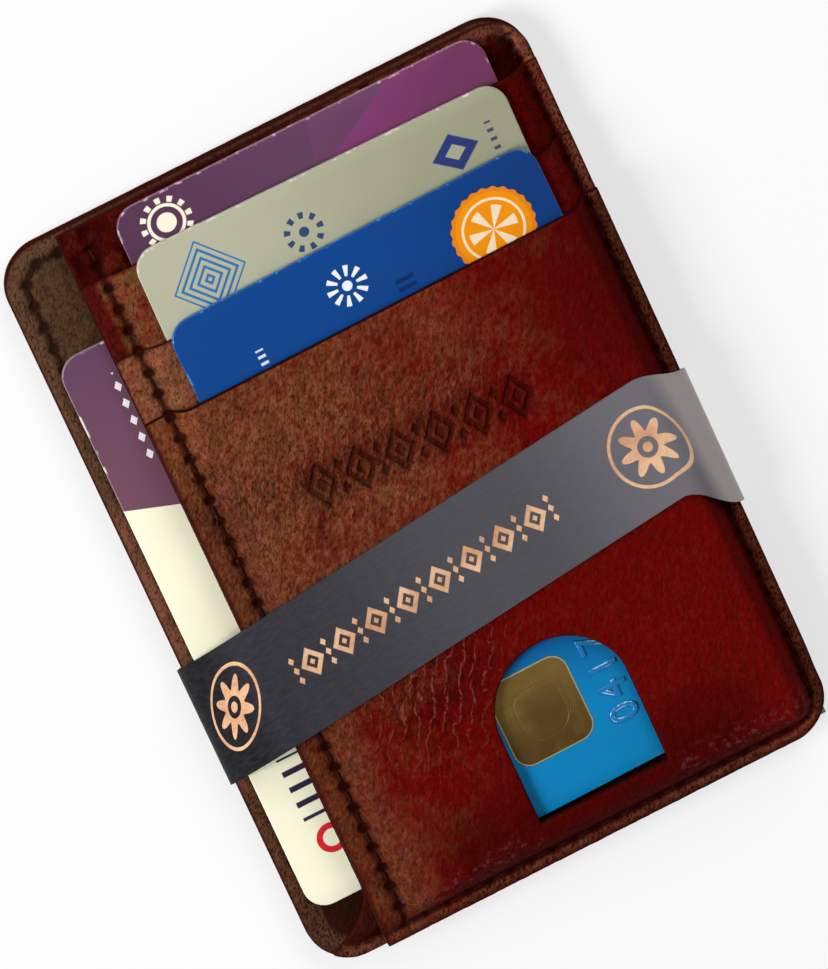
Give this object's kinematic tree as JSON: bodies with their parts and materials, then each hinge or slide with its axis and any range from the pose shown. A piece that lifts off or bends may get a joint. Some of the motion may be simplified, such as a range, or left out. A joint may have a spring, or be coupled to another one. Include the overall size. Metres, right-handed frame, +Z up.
{
  "type": "leather card holder",
  "caption": "Slim sewn leather card holder with stepped front slots, thumb window, side pocket, cards in place and a slip-off paper belly band.",
  "frame": {"origin": "centre of the bounding box in plan, at the underside of the belly band, on which the holder lies", "axes": "+X towards the side where the slots are sewn to the back, +Y towards the end where the cards come out, +Z up out of the front face"},
  "size_m": [0.078, 0.1106, 0.0109],
  "materials": {
    "outer_leather": "pebbled, waxed brown-red leather",
    "inner_leather": "olive-brown leather, satin",
    "base_leather": "deep maroon leather, glossy",
    "slot_leather": "brown-red leather, satin",
    "front_leather": "burnished brown to maroon pebbled leather",
    "lining_cloth": "thin woven lining",
    "shield_film": "metallised film",
    "thread": "waxed polyester thread",
    "rear_card_plastic": "printed plum card",
    "middle_card_plastic": "printed grey-green card",
    "front_card_plastic": "printed blue card",
    "side_card_plastic": "printed cream and plum card",
    "chip_contacts": "gold-plated contacts",
    "band_paper": "coated dark grey paper strip with copper foil print"
  },
  "bodies": {
    "holder": {"outer_back": "outer_leather", "inner_back": "inner_leather", "slot_base": "base_leather", "rear_slot_panel": "slot_leather", "middle_slot_panel": "slot_leather", "front_panel": "front_leather", "front_lining": "lining_cloth", "back_shield": "shield_film", "front_shield": "shield_film", "back_needle_thread": "thread", "back_bobbin_thread": "thread", "joining_needle_thread": "thread", "joining_bobbin_thread": "thread", "block_needle_thread": "thread", "block_bobbin_thread": "thread", "rear_slot_thread": "thread", "middle_slot_thread": "thread"},
    "rear_card_body": {"rear_card": "rear_card_plastic", "rear_card_chip": "chip_contacts"},
    "middle_card_body": {"middle_card": "middle_card_plastic", "middle_card_chip": "chip_contacts"},
    "front_card_body": {"front_card": "front_card_plastic", "front_card_chip": "chip_contacts"},
    "side_card_body": {"side_card": "side_card_plastic", "side_card_chip": "chip_contacts"},
    "band_body": {"belly_band": "band_paper"}
  },
  "joints": [
    {"name": "rear_card_slide", "type": "slide", "parent": "holder", "child": "rear_card_body", "axis": [0, 1, 0], "range_m": [0, 0.08]},
    {"name": "middle_card_slide", "type": "slide", "parent": "holder", "child": "middle_card_body", "axis": [0, 1, 0], "range_m": [0, 0.076]},
    {"name": "front_card_slide", "type": "slide", "parent": "holder", "child": "front_card_body", "axis": [0, 1, 0], "range_m": [0, 0.078]},
    {"name": "side_card_slide", "type": "slide", "parent": "holder", "child": "side_card_body", "axis": [0, 1, 0], "range_m": [-0.0015, 0.104]},
    {"name": "belly_band_slide", "type": "slide", "parent": "holder", "child": "band_body", "axis": [0, -1, 0], "range_m": [-0.08, 0.062]}
  ]
}
